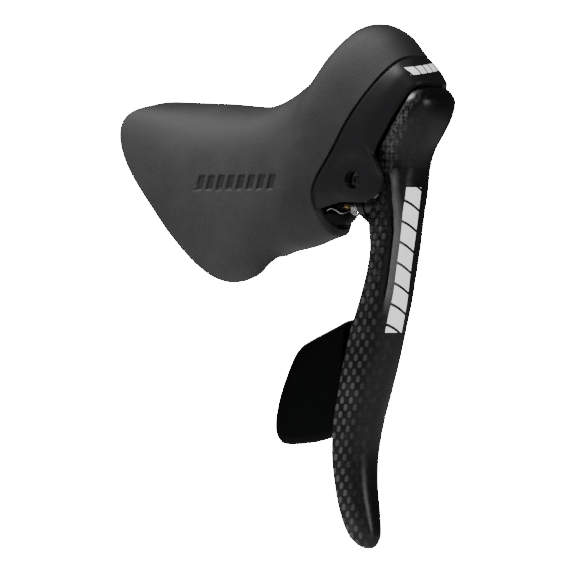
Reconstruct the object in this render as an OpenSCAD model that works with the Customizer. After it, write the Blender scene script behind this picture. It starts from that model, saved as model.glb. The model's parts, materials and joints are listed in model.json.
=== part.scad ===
// Combined brake and shift lever for the right side of a road bicycle's drop handlebar.
// +X is forward, +Z is up and -Y is outboard. The origin is the middle of the handlebar seat.

/* [Handlebar clamp] */
// Radius of the handlebar
bar_r = 12; // [11.9:0.05:12.1]
// Angle between the handlebar at the clamp and the vertical
bar_lean = 40; // [36:1:42]
// Width of the clamp band along the handlebar
band_w = 10; // [8:0.5:11]
// Thickness of the clamp band
band_t = 1; // [0.8:0.1:1.1]

/* [Hood] */
// Wall of the rubber hood
hood_t = 2.5; // [2:0.1:2.6]
// Half the width of the grip
grip_w = 17; // [16.5:0.25:18]
// Rings along the hood
hood_rings = 34; // [20:1:40]
// Points round each ring of the hood
hood_points = 44; // [32:4:48]

/* [Front cover] */
// Wall of the front cover
cover_t = 2.4; // [2:0.1:2.5]
// Gap between the hood and the front cover
seam_gap = 0.5; // [0.3:0.1:0.8]
// Radius of the hole over the brake pin
pin_hole_r = 2.9; // [2.7:0.1:3.2]

/* [Brake pivot] */
// Distance of the brake pin in front of the origin
pin_x = 71.3; // [71:0.1:71.6]
// Height of the brake pin above the origin
pin_z = 10; // [9.5:0.25:10.5]
// Radius of the brake pin
pin_r = 2.5; // [2.2:0.1:2.6]
// Radial running clearance of every shaft
run_gap = 0.05; // [0.02:0.01:0.08]

/* [Bracket] */
// Half the width of the bracket's front
bracket_w = 10; // [9.8:0.1:10.1]
// Half the width of the bracket's rear block
block_w = 11.5; // [11:0.1:11.7]
// Half the width of the space between the ears
ear_gap = 7.3; // [7.2:0.05:7.4]

/* [Shift mechanism] */
// Height of the shift axle above the origin
axle_z = 2; // [1.6:0.1:2.2]
// Radius of the shift axle
axle_r = 1.9; // [1.7:0.1:2]
// Teeth on the ratchet wheel
ratchet_teeth = 14; // [10:1:18]

/* [Brake blade] */
// Wall of the carbon blade
blade_t = 1.9; // [1.6:0.1:2]
// Thickness of the shift paddle
paddle_t = 2; // [1.6:0.1:2.2]

/* [Hidden] */
$fn = 48;

// A line inside the mechanism turns about the forward axis at axle_z; the pin turns about Y.
axle_front = 73.4;
axle_rear = 48.4;
carrier_w = 7;
bolt_r = 2.5;
nut_n = bar_r + band_t + 0.3;
head_n = 28;
anchor_x = 77;
anchor_z = 28;
anchor_r = 3.4;
pawl_y = 4.6;
pawl_z = 9.8;
pawl_r = 1;
spring_wire = 0.45;
lock_y = (ear_gap + bracket_w) / 2;

// ---------- curves ----------

function cubic(a, b, c, d, t) =
    0.5 * (2 * b + (c - a) * t + (2 * a - 5 * b + 4 * c - d) * t * t + (3 * b - a - 3 * c + d) * t * t * t);

// The smooth curve through a list of values, where s counts its points from 0.
function along(list, s) =
    let (last = len(list) - 1, i = min(floor(s), last - 1))
    cubic(list[max(i - 1, 0)], list[i], list[i + 1], list[min(i + 2, last)], s - i);

function smooth_line(list, steps) =
    [for (i = [0 : steps]) along(list, i * (len(list) - 1) / steps)];

function closed_line(list, steps) =
    let (n = len(list))
    [for (i = [0 : n - 1]) for (j = [0 : steps - 1])
        cubic(list[(i + n - 1) % n], list[i], list[(i + 1) % n], list[(i + 2) % n], j / steps)];

// A power that keeps the sign of its base.
function spow(v, e) = sign(v) * pow(abs(v), e);

// ---------- solids from rings ----------

// The side faces between rings of equal length, all closed.
function wall_faces(rings, points) =
    [for (i = [0 : rings - 2]) for (j = [0 : points - 1])
        let (a = i * points + j, b = i * points + (j + 1) % points)
        each [[a, a + points, b], [b, a + points, b + points]]];

// A solid through a stack of closed rings, with a flat or fan-shaped cap at each end.
module ring_stack(rings) {
    n = len(rings);
    m = len(rings[0]);
    first = [for (j = [0 : m - 1]) j];
    last = [for (j = [m - 1 : -1 : 0]) (n - 1) * m + j];
    polyhedron([for (r = rings) each r], concat(wall_faces(n, m), [first], [last]));
}

// A tube whose wall lies between a stack of outer rings and a stack of inner rings.
module shell_stack(outer, inner) {
    n = len(outer);
    m = len(outer[0]);
    total = n * m;
    inside = [for (f = wall_faces(n, m)) [f[0] + total, f[2] + total, f[1] + total]];
    rear = [for (j = [0 : m - 1])
        let (k = (j + 1) % m)
        each [[j, k, j + total], [k, k + total, j + total]]];
    tip = (n - 1) * m;
    front = [for (j = [0 : m - 1])
        let (a = tip + j, b = tip + (j + 1) % m)
        each [[a, a + total, b], [b, a + total, b + total]]];
    polyhedron([for (r = concat(outer, inner)) each r], concat(wall_faces(n, m), inside, rear, front));
}

// ---------- placing ----------

// Children drawn along +Z lie along the handlebar, with local +X pointing forward out of it.
module on_bar() {
    rotate([0, 180 - bar_lean, 0]) mirror([1, 0, 0]) children();
}

// Children drawn along +Z point straight out of the handlebar, up and forward.
module out_of_bar() {
    on_bar() rotate([0, 90, 0]) children();
}

// Children drawn along +Z point forward along the shift axle, from a place x.
module on_axle(x) {
    translate([x, 0, axle_z]) rotate([0, 90, 0]) children();
}

// Children drawn along +Z lie along Y, centred on a place in the side view.
module across(x, z) {
    translate([x, 0, z]) rotate([90, 0, 0]) children();
}

// A side-view outline given as [x, z] points, widened along Y from y0 to y1.
module side_plate(points, y0, y1) {
    translate([0, y1, 0]) rotate([90, 0, 0]) linear_extrude(y1 - y0) polygon(points);
}

// ---------- hood surface ----------

// One station of the hood: top x, top z, bottom x, bottom z, half width at the top, middle and bottom,
// bow of the sides to the rear, roundness along, roundness across, rise of the top corners,
// share of the seam's own bow, how much shorter the inboard skirt is, and rise of its lower middle.
hood_stations = [
    [-12.4, 36.6, 32.9, -17.4, 16.8, 16.8, 16.8, 19.8, 0.44, 0.42, 9.5, 0, 0.36, 0.1],
    [10, 35.6, 35.5, -14, 16, grip_w, 16.5, 11, 0.6, 0.62, 0, 0, 0.16, 0.03],
    [34, 34.8, 38.5, -12.4, 15.5, grip_w, 16, 5, 0.62, 0.62, 0, 0, 0.04, 0],
    [52, 43.3, 44, -11.3, 13, grip_w - 0.5, 15.5, 4.5, 0.62, 0.64, 0, 0.1, 0, 0],
    [64.5, 56.4, 48.5, -10, 11.6, grip_w - 1.2, 14.6, 6, 0.65, 0.64, 0, 0.3, 0, 0],
    [72.5, 60.3, 52, -9, 11, grip_w - 2, 13.8, 7.5, 0.7, 0.64, 0, 0.5, 0, 0],
    [81.8, 56.8, 54.5, -8.4, 11.4, grip_w - 3, 13.2, 9, 0.72, 0.62, 0, 0.8, 0, 0],
    [88.2, 50, 56, -8, 12.4, grip_w - 3.5, 13, 10, 0.75, 0.6, 0, 1, 0, 0]
];
// Shape of the seam's bow, at every 30 degrees from the top to the bottom.
seam_bow = [0, 0.24, 0.5, 0.8, 1, 0.4, 0];
hood_last = len(hood_stations) - 1;

// The station moved in by a wall; the rear rim's wall also leans forward, clear of the handlebar.
function inset(st, wall, lean) =
    let (dx = st[2] - st[0], dz = st[3] - st[1], l = norm([dx, dz]), ux = dx / l, uz = dz / l)
    [st[0] + ux * wall - uz * lean, st[1] + uz * wall + ux * lean,
     st[2] - ux * wall - uz * lean, st[3] - uz * wall + ux * lean,
     st[4] - wall, st[5] - wall, st[6] - wall, st[7] + lean,
     each [for (i = [8 : 13]) st[i]]];

// The half width of a station at a height u, from 1 at the top to -1 at the bottom.
function width_at(st, u) =
    st[5] + (st[4] - st[6]) / 2 * u + ((st[4] + st[6]) / 2 - st[5]) * u * u;

// The point of a station at an angle t, from 0 at the top to 180 at the bottom.
function skin_point(st, t) =
    let (
        top = [st[0], st[1]], bottom = [st[2], st[3]],
        down = (bottom - top) / norm(bottom - top),
        rear = [down[1], -down[0]],
        c = cos(t), s = sin(t), u = spow(c, c > 0 ? st[8] : st[8] * 0.82),
        corner = c > 0 ? st[10] * (u - pow(c, 6)) : 0,
        longer = s > 0 ? -s : 0.4 * min(-1.1 * s, 1),
        middle = s > 0 ? 1 : pow(max(1 + s / 0.4, 0), 2),
        skirt = c < 0 ? 1 + st[12] * longer - st[13] * middle : 1,
        plain = pow(abs(s), 1.3), fold = t > 180 ? 360 - t : t,
        lower = c < 0 ? 1 - st[12] * 0.9 * pow(abs(c), 0.6) : 1,
        bow = st[7] * (plain + (along(seam_bow, fold / 30) - plain) * st[11]) * lower,
        p = (top + bottom) / 2 + (top - bottom) / 2 * u * skirt - down * corner + rear * bow
    )
    [p[0], width_at(st, u) * spow(s, st[9]), p[1]];

function skin_ring(st, points) = [for (j = [0 : points - 1]) skin_point(st, 360 * j / points)];

// The hood's rings, from the rear rim to the seam with the front cover.
function hood_skin(wall, lean) =
    let (stations = [for (i = [0 : hood_last]) inset(hood_stations[i], wall, i == 0 ? lean : 0)])
    [for (i = [0 : hood_rings]) skin_ring(along(stations, hood_last * i / hood_rings), hood_points)];

module hood() {
    color("#2b2b2c") shell_stack(hood_skin(0, 0), hood_skin(hood_t, 2));
}

// ---------- front cover ----------

// Front edge of the cover on one side, from the crest to the foot of the ear: x, half width, z.
cover_front = [
    [94.2, 0, 41.2], [93.8, 6.5, 41], [91.8, 9.6, 39.2], [87.7, 11.3, 33.4], [83.2, 12, 27],
    [78.5, 12.5, 18.8], [80.4, 12.7, 14.6], [82.4, 12.8, 10], [80.2, 12.8, 5], [75.5, 12.7, 2.8]
];
// Angle on the seam that each of those points is joined to.
cover_seam = [0, 22, 36, 48, 60, 76, 88, 101, 115, 131];
cover_steps = 30;

function outward(p) =
    let (v = [0.35 * (p[0] - 70), p[1], 0.35 * (p[2] - 22)])
    v / norm(v);

// The cover's cross-section on one side at a place s along both edges, and a sign for the side.
function cover_section(s, side) =
    let (
        seam = skin_point(hood_stations[hood_last], along(cover_seam, s)),
        front = along(cover_front, s),
        start = seam + (front - seam) * seam_gap / norm(front - seam),
        mid = (start + front) / 2,
        outer = [start, along([start, mid + outward(mid) * 0.8, front], 0.6), mid + outward(mid) * 0.8,
                 along([start, mid + outward(mid) * 0.8, front], 1.5), front]
    )
    [for (p = concat(outer, [for (i = [4 : -1 : 0]) outer[i] - outward(outer[i]) * cover_t]))
        [p[0], p[1] * side, p[2]]];

module front_cover() {
    last = len(cover_front) - 1;
    near = [for (i = [cover_steps : -1 : 1]) cover_section(last * i / cover_steps, -1)];
    far = [for (i = [0 : cover_steps]) cover_section(last * i / cover_steps, 1)];
    color("#1d1e20") difference() {
        ring_stack(concat(near, far));
        across(pin_x, pin_z) cylinder(r = pin_hole_r, h = 60, center = true);
    }
}

// ---------- bracket ----------

// Side view of the bracket's front, from the grip over the horn to the ears.
front_outline = [
    [30, 27], [38, 29.6], [44, 32.6], [52, 38.4], [60, 46], [66, 52], [71, 54.4], [77, 53], [82.6, 48],
    [87.4, 41.4], [86.6, 38.6], [82.6, 32], [77.8, 26], [73.4, 18], [71.3, 3.6],
    [57.5, 3.6], [53, 0.4], [50.5, -3.4], [46, -5.6], [34, -7.4], [30, -7.6]
];
// Half of the front view of the bracket's front: half width and height.
front_view = [
    [5, -8], [6, -6], [7.2, -4], [7.8, 0], [8.6, 4], [9.3, 7.5], [bracket_w, 11], [bracket_w, 24],
    [8.2, 38], [5.7, 48.6], [2.6, 56]
];
// Side view of the rear block that holds the handlebar.
block_outline = [[-10.6, 17.2], [2.5, 28], [40, 26.5], [44, -6], [30, -8.6], [24, -9], [15.2, -13.4]];
// Half of the front view of the rear block.
block_view = [[6.6, -14], [8.4, -7], [10.4, -1], [block_w, 4], [block_w, 22], [9.4, 28.5]];
// Side view of the space between the ears, where the mechanism swings.
cavity_outline = [
    [44.5, -4], [44.5, 21], [54, 23.4], [63, 24.6], [68.6, 33.4], [74, 40.2], [100, 40.2],
    [100, -30], [62, -30], [62, -4]
];
// Half the width of the chin inside the hood, and in front of it.
chin_w = 4;
chin_front_w = 7;
// Outline of the chin below the mechanism: radius and height.
chin_outline = [[0, -5], [10.2, -5], [11.4, -4], [12.5, -2.3], [13, -0.6], [0, -0.6]];

// What a side view and half a front view have in common.
module shaped_plate(points, view) {
    half = max([for (p = view) p[0]]);
    other_half = [for (i = [len(view) - 1 : -1 : 0]) [-view[i][0], view[i][1]]];
    intersection() {
        side_plate(points, -half, half);
        rotate([90, 0, 90]) translate([0, 0, -40]) linear_extrude(160) polygon(concat(view, other_half));
    }
}

module bracket() {
    color("#161718") difference() {
        union() {
            shaped_plate(front_outline, front_view);
            shaped_plate(block_outline, block_view);
            intersection() {
                translate([46, 0, 0]) rotate_extrude() polygon(chin_outline);
                union() {
                    cube([200, 2 * chin_w, 40], center = true);
                    translate([56.6, -chin_front_w, -20]) cube([10, 2 * chin_front_w, 40]);
                }
            }
            across(pin_x, pin_z) cylinder(r = 7.3, h = 2 * bracket_w, center = true);
        }
        on_bar() cylinder(r = bar_r, h = 120, center = true, $fn = 96);
        on_bar() cylinder(r = bar_r + band_t + 0.3, h = band_w + 0.6, center = true, $fn = 96);
        side_plate(cavity_outline, -ear_gap, ear_gap);
        across(pin_x, pin_z) cylinder(r = pin_r + 0.9, h = 60, center = true);
        out_of_bar() cylinder(r = bolt_r + 0.3, h = 60);
        out_of_bar() translate([-4.6, -4.6, 0]) cube([9.2, 9.2, nut_n + 6]);
        out_of_bar() translate([0, 0, head_n - 1]) cylinder(r = 5.2, h = 60);
        translate([0, 0, 31]) rotate([0, 90, 0]) translate([0, 0, 20]) cylinder(r = 3.1, h = 80);
        translate([-20, 7, 10]) rotate([0, 90, 0]) cylinder(r = 2.9, h = 80);
        translate([pin_x, -lock_y, -5]) cylinder(r = 1.15, h = pin_z + 3);
    }
}

// ---------- handlebar clamp ----------

module clamp_band() {
    color("#b9bcc0") difference() {
        union() {
            on_bar() cylinder(r = bar_r + band_t, h = band_w, center = true, $fn = 96);
            on_bar() translate([bar_r, -4, -4]) cube([band_t + 5, 8, 8]);
        }
        on_bar() cylinder(r = bar_r, h = 30, center = true, $fn = 96);
        out_of_bar() translate([-3.05, -3.05, nut_n - 0.2]) cube([6.1, 6.1, 3.4]);
        out_of_bar() cylinder(r = bolt_r + 0.2, h = 40);
    }
}

module clamp_nut() {
    color("#8d8f92") difference() {
        out_of_bar() translate([-3, -3, nut_n]) cube([6, 6, 3]);
        out_of_bar() cylinder(r = bolt_r + 0.02, h = 40);
    }
}

module clamp_bolt() {
    color("#7d7f83") difference() {
        union() {
            out_of_bar() translate([0, 0, nut_n + 0.1]) cylinder(r = bolt_r, h = head_n - nut_n + 0.2);
            out_of_bar() translate([0, 0, head_n + 0.05]) cylinder(r = 4.2, h = 4.6);
        }
        out_of_bar() translate([0, 0, head_n + 1.8]) cylinder(r = 2.3, h = 6, $fn = 6);
    }
}

module clamp_washer() {
    color("#a5a7aa") out_of_bar() translate([0, 0, head_n - 0.95]) difference() {
        cylinder(r = 4.8, h = 0.95);
        cylinder(r = bolt_r + 0.15, h = 4, center = true);
    }
}

// ---------- brake pivot ----------

module pivot_pin() {
    color("#6f7276") across(pin_x, pin_z) difference() {
        cylinder(r = pin_r, h = 22.4, center = true);
        for (side = [-1, 1])
            translate([0, 0, side * 10.4]) cylinder(r = 1.45, h = 4.4, center = true, $fn = 6);
    }
}

module ear_bushes() {
    color("#c9a24a") across(pin_x, pin_z) for (side = [-1, 1])
        translate([0, 0, side * (ear_gap + bracket_w) / 2]) difference() {
            cylinder(r = pin_r + 0.88, h = bracket_w - ear_gap - 0.1, center = true);
            cylinder(r = pin_r + 0.02, h = 20, center = true);
        }
}

module pin_lock_screw() {
    color("#3a3b3d") translate([pin_x, -lock_y, 0]) difference() {
        translate([0, 0, 3]) cylinder(r = 1.1, h = pin_z - pin_r - 4.05);
        cylinder(r = 0.65, h = 4.2, $fn = 6);
    }
}

module brake_housing_seat() {
    color("#9a9da1") translate([49, 0, 31]) rotate([0, 90, 0]) difference() {
        cylinder(r = 3.05, h = 8);
        translate([0, 0, -1]) cylinder(r = 2.55, h = 6.5);
        cylinder(r = 0.9, h = 20);
    }
}

module shift_housing_seat() {
    color("#9a9da1") translate([36, 7, 10]) rotate([0, 90, 0]) difference() {
        cylinder(r = 2.85, h = 8);
        translate([0, 0, -1]) cylinder(r = 2.3, h = 6.5);
        cylinder(r = 0.8, h = 20);
    }
}

module stop_bumper() {
    color("#202122") side_plate([[66.1, 28.7], [69.5, 34.1], [71, 33.2], [67.6, 27.8]], -4, 4);
}

// ---------- brake blade ----------

// One station of the blade, from the head to the tip:
// z, front x, rear x, half width, depth of the rear channel, cut-back of the inboard wall.
blade_stations = [
    [39.6, 94.6, 92.6, 5, 0.6, 0.2],
    [38.4, 95.8, 91.8, 8.6, 1.4, 0],
    [35, 97.4, 90.4, 10.8, 3.8, 0],
    [30, 96.4, 87, 11.2, 5.4, 0],
    [25, 94, 83.2, 10.6, 6.6, 0],
    [20, 91.2, 79.4, 9.7, 7.6, 0],
    [15, 89.4, 78.6, 9, 7, 0],
    [10, 88.4, 80, 8.7, 5.4, 0],
    [5, 87.8, 78.4, 8.6, 6.4, 1.5],
    [0, 87, 74.2, 8.5, 10, 5.6],
    [-5, 86.2, 73.6, 8.4, 9.8, 5.8],
    [-12, 84.9, 74, 8.3, 8.2, 5.2],
    [-20, 83.5, 72.4, 8.2, 8.2, 5],
    [-29, 82.1, 69.4, 8.1, 8.6, 5],
    [-38, 80, 66, 8, 8.2, 4.8],
    [-48, 77.4, 63.2, 8, 7.4, 4.4],
    [-58, 74.3, 60.9, 7.9, 6.6, 4],
    [-68, 71, 58.8, 7.8, 5.8, 4],
    [-78, 68.9, 57.9, 7.5, 4.6, 3],
    [-88, 68.8, 58.7, 7, 1.8, 0.6],
    [-97, 70, 60.3, 6.3, 0.5, 0],
    [-104, 70.8, 62.6, 5, 0.4, 0],
    [-107.5, 69.8, 65, 3, 0.3, 0],
    [-108.7, 68.4, 66.6, 1, 0.2, 0.2]
];
blade_steps = 13;

// The closed outline of the blade at a station: the outer skin, then the channel back again.
function blade_ring(st) =
    concat(
        [for (i = [0 : blade_steps])
            let (a = -90 + 180 * i / blade_steps, cut = st[5] * pow((1 + sin(a)) / 2, 2))
            [st[2] + cut + (st[1] - st[2] - cut) * pow(cos(a), 0.72), st[3] * spow(sin(a), 0.72), st[0]]],
        [for (i = [blade_steps : -1 : 0])
            let (a = -90 + 180 * i / blade_steps, cut = st[5] * pow((1 + sin(a)) / 2, 2),
                 half = max(st[3] - blade_t, st[3] * 0.4))
            [st[2] + cut + max(st[4] - cut, 0.2) * pow(cos(a), 0.5), half * spow(sin(a), 0.6), st[0]]]
    );

module brake_blade() {
    color("#222326") ring_stack([for (st = smooth_line(blade_stations, 52)) blade_ring(st)]);
}

// Cheek of the carrier in side view, from the pin up to the inside of the blade's head.
cheek_outline = [
    [67.2, 12.6], [69.6, 22], [71.6, 29.4], [74.6, 32.4], [82.5, 33.6], [86.6, 33.4], [88.4, 32],
    [88, 29.6], [84.6, 25], [81.6, 20], [80, 15], [77, 10], [74, 5.6], [68, 5.6]
];

module lever_carrier() {
    color("#aeb1b5") difference() {
        union() {
            for (side = [-1, 1]) side_plate(cheek_outline, side * 4.9 - 1.4, side * 4.9 + 1.4);
            across(pin_x, pin_z) cylinder(r = 4.3, h = 2 * carrier_w, center = true);
            on_axle(67.7) cylinder(r = 3.2, h = 4.8);
            translate([67.7, -3, axle_z]) cube([4.8, 6, pin_z - axle_z]);
            for (side = [-1, 1]) translate([56.4, side * 6.3 - 0.7, 5]) cube([15, 1.4, 4.2]);
            translate([56.4, -carrier_w, 5]) cube([2.6, 2 * carrier_w, 7]);
            on_axle(56.4) cylinder(r = 3.6, h = 2.6);
        }
        across(pin_x, pin_z) cylinder(r = pin_r + 0.82, h = 60, center = true);
        across(anchor_x, anchor_z) cylinder(r = anchor_r + run_gap, h = 60, center = true);
        on_axle(64) cylinder(r = axle_r + run_gap, h = 20);
        on_axle(50) cylinder(r = axle_r + 0.72, h = 14);
        translate([50, pawl_y, pawl_z]) rotate([0, 90, 0]) cylinder(r = pawl_r + 0.02, h = 12);
        across(84.4, 30.6) cylinder(r = 0.82, h = 60, center = true);
        across(80.6, 23) cylinder(r = 0.82, h = 60, center = true);
        translate([66, -4.9, 17]) rotate([0, 90, 0]) cylinder(r = 1.12, h = 20);
    }
}

module carrier_bush() {
    color("#c9a24a") across(pin_x, pin_z) difference() {
        cylinder(r = pin_r + 0.8, h = 2 * carrier_w, center = true);
        cylinder(r = pin_r + run_gap, h = 60, center = true);
    }
}

module rear_bush() {
    color("#c9a24a") difference() {
        union() {
            on_axle(56.3) cylinder(r = axle_r + 0.7, h = 3);
            on_axle(59.05) cylinder(r = 2.9, h = 2.1);
        }
        on_axle(50) cylinder(r = axle_r + run_gap, h = 20);
    }
}

module hold_pawl_pin() {
    color("#8d8f92") translate([49.6, pawl_y, pawl_z]) rotate([0, 90, 0]) cylinder(r = pawl_r, h = 9.4);
}

module reach_screw() {
    color("#3a3b3d") translate([0, -4.9, 17]) rotate([0, 90, 0]) difference() {
        translate([0, 0, 67.6]) cylinder(r = 1.1, h = 10);
        translate([0, 0, 76]) cylinder(r = 0.6, h = 3, $fn = 6);
    }
}

module blade_dowels() {
    color("#8d8f92") {
        across(84.4, 30.6) cylinder(r = 0.8, h = 13, center = true);
        across(80.6, 23) cylinder(r = 0.8, h = 13, center = true);
    }
}

// ---------- springs ----------

// A wire of circular section along a path that a list of points gives.
module wire(path, r) {
    n = len(path);
    rings = [for (i = [0 : n - 1])
        let (
            d = path[min(i + 1, n - 1)] - path[max(i - 1, 0)],
            t = d / norm(d),
            side = cross(t, [0.31, 0.17, 0.94]),
            u = side / norm(side),
            v = cross(t, u)
        )
        [for (k = [0 : 5]) path[i] + r * (cos(60 * k) * u + sin(60 * k) * v)]];
    ring_stack(rings);
}

// The turns of a torsion spring round the forward axis, from x0 to x1.
function turns(x0, x1, r, count, start) =
    [for (i = [0 : 14 * count])
        let (a = start + 360 * i / 14)
        [x0 + (x1 - x0) * i / (14 * count), r * cos(a), axle_z + r * sin(a)]];

module paddle_return_spring() {
    coil = turns(61.75, 64.35, 3, 4, 215);
    leg = [[55, -6.6, 0], [57.4, -6.6, 1], [60, -5.4, -0.5], [61.2, -4, -0.2]];
    color("#c4c6c9") wire(concat(smooth_line(leg, 12), coil), spring_wire);
}

// The brake spring's turns lie above the mechanism, one leg on the bracket and one by the pin's hub.
module brake_return_spring() {
    coil = [for (i = [0 : 56])
        let (a = 200 + 360 * i / 14)
        [64 + 2.6 * cos(a), -2.4 + 4.8 * i / 56, 17.6 + 2.6 * sin(a)]];
    rear_leg = [[57.6, -2.6, 20.6], [59.6, -2.5, 19]];
    color("#c4c6c9") wire(concat(rear_leg, coil, [[65.6, 2.6, 15]]), spring_wire);
}

// ---------- cable anchor ----------

module cable_anchor() {
    color("#b9bcc0") difference() {
        across(anchor_x, anchor_z) cylinder(r = anchor_r, h = 12.8, center = true);
        translate([anchor_x - 10, 0, anchor_z]) rotate([0, 90, 0]) cylinder(r = 0.9, h = 20);
        translate([anchor_x, 0, anchor_z]) rotate([0, 90, 0]) cylinder(r = 1.6, h = 20);
    }
}

module anchor_screw() {
    color("#3a3b3d") translate([anchor_x + 0.4, 0, anchor_z]) rotate([0, 90, 0]) difference() {
        cylinder(r = 1.55, h = 2.8);
        translate([0, 0, 1.4]) cylinder(r = 0.8, h = 3, $fn = 6);
    }
}

// ---------- shift paddle ----------

// Side view of the paddle's plate.
paddle_outline = [
    [63.8, -36.4], [62, -35], [55.3, -37.8], [48.4, -40.7], [43.2, -43.3], [40, -46.6], [36.8, -52.6],
    [33.4, -61.1], [31.9, -68.7], [33, -73.2], [36.6, -75.4], [47, -74.8], [54.6, -73.1], [60.4, -71],
    [62.6, -58], [65.4, -46]
];
// Side view of the arm from the shift axle to the paddle.
arm_outline = [
    [65, 2], [65, -1], [68, -3.4], [72.6, -6], [74.7, -10], [74.3, -15], [72.9, -21], [69.9, -29],
    [66.6, -37], [63.4, -46], [61.6, -54], [64.6, -55], [67.4, -47], [70.4, -38], [73.8, -29],
    [76.6, -21], [78.2, -15], [78.5, -9], [76.4, -4.8], [72.8, -2.6], [67.4, -1.8], [67.4, 2]
];
// Places of the two paddle screws in the side view.
paddle_holes = [[66, -43.4], [64, -50.6]];

module shift_paddle() {
    color("#17181a") difference() {
        side_plate(closed_line(paddle_outline, 5), -2.1 - paddle_t, -2.1);
        for (hole = paddle_holes) across(hole[0], hole[1]) cylinder(r = 1.3, h = 40, center = true);
    }
}

module paddle_arm() {
    color("#a3a6aa") difference() {
        union() {
            side_plate(arm_outline, -2, 2);
            on_axle(65) cylinder(r = 3.6, h = 2.4);
        }
        on_axle(60) cylinder(r = axle_r + 0.02, h = 20);
        for (hole = paddle_holes) across(hole[0], hole[1]) cylinder(r = 1.28, h = 40, center = true);
    }
}

module paddle_screws() {
    color("#3a3b3d") for (hole = paddle_holes) across(hole[0], hole[1]) difference() {
        union() {
            translate([0, 0, -1.9]) cylinder(r = 1.25, h = 4.4 + paddle_t);
            translate([0, 0, 2.15 + paddle_t]) cylinder(r = 2.1, h = 1);
        }
        translate([0, 0, 2.6 + paddle_t]) cylinder(r = 0.9, h = 3, $fn = 6);
    }
}

// ---------- shift mechanism ----------

module shift_axle() {
    color("#8d8f92") on_axle(axle_rear) cylinder(r = axle_r, h = axle_front - axle_rear);
}

module axle_clips() {
    color("#5c5e61") for (x = [axle_rear + 0.1, axle_front - 0.7]) on_axle(x) difference() {
        cylinder(r = 3, h = 0.55);
        cylinder(r = axle_r + 0.02, h = 4, center = true);
    }
}

// The drive arm is fixed to the shift axle and carries the drive pawl behind the ratchet wheel.
module drive_arm() {
    color("#8d8f92") difference() {
        union() {
            on_axle(49.1) cylinder(r = 3.2, h = 0.8);
            translate([49.1, -1.5, axle_z - 5.5]) cube([0.8, 3, 4.6]);
        }
        on_axle(40) cylinder(r = axle_r + 0.02, h = 20);
        translate([40, 0, axle_z - 4.3]) rotate([0, 90, 0]) cylinder(r = 0.62, h = 20);
    }
}

module drive_pawl_pin() {
    color("#6f7276") translate([49.15, 0, axle_z - 4.3]) rotate([0, 90, 0]) cylinder(r = 0.6, h = 1.25);
}

// The drive pawl lies between the drive arm and the rear face of the ratchet wheel.
module drive_pawl() {
    color("#6f7276") translate([50, 0, axle_z - 4.3]) rotate([0, 90, 0]) difference() {
        linear_extrude(0.35) polygon([[-1.1, -1], [1.1, -1], [1.2, 1.6], [0.3, 2.4], [-0.9, 1.2]]);
        cylinder(r = 0.62, h = 4, center = true);
    }
}

module cable_spool() {
    color("#2a2b2d") on_axle(52.5) difference() {
        rotate_extrude() polygon([
            [axle_r + run_gap, 0], [5.4, 0], [5.4, 0.7], [4.2, 1.1], [4.2, 2.3], [5.4, 2.7], [5.4, 3.4],
            [axle_r + run_gap, 3.4]
        ]);
        translate([-4.4, -1.8, 1.7]) rotate([90, 0, 0]) cylinder(r = 0.8, h = 6, center = true);
    }
}

module ratchet_wheel() {
    step = 360 / ratchet_teeth;
    color("#9a9da1") on_axle(50.6) linear_extrude(1.7) difference() {
        polygon([for (i = [0 : ratchet_teeth - 1]) each [
            5.6 * [cos(step * i), sin(step * i)],
            4.7 * [cos(step * (i + 0.85)), sin(step * (i + 0.85))]
        ]]);
        circle(r = axle_r + run_gap);
    }
}

module thrust_washers() {
    color("#c9a24a") for (x = [52.32, 56.02]) on_axle(x) difference() {
        cylinder(r = 3, h = 0.15);
        cylinder(r = axle_r + run_gap, h = 4, center = true);
    }
}

// The hold pawl hangs on its pin and reaches down beside the top teeth of the ratchet wheel.
module hold_pawl() {
    color("#6f7276") translate([50.7, pawl_y, pawl_z]) rotate([0, 90, 0]) difference() {
        union() {
            cylinder(r = 1.9, h = 1.3);
            linear_extrude(1.3)
                polygon([[-1.5, -0.9], [1.6, -0.6], [2.1, -3.1], [1.5, -3.3], [-0.6, -2.6]]);
        }
        cylinder(r = pawl_r + run_gap, h = 8, center = true);
    }
}

bracket();
hood();
front_cover();
clamp_band();
clamp_nut();
clamp_bolt();
clamp_washer();
pivot_pin();
ear_bushes();
pin_lock_screw();
brake_housing_seat();
shift_housing_seat();
stop_bumper();
brake_blade();
lever_carrier();
carrier_bush();
rear_bush();
hold_pawl_pin();
brake_return_spring();
reach_screw();
blade_dowels();
cable_anchor();
anchor_screw();
shift_paddle();
paddle_arm();
paddle_screws();
shift_axle();
axle_clips();
drive_arm();
drive_pawl();
drive_pawl_pin();
paddle_return_spring();
cable_spool();
ratchet_wheel();
thrust_washers();
hold_pawl();
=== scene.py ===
"""Looks for the brake and shift lever: rubber hood, satin cover, carbon blade and bright mechanism."""

import json
import math

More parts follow.
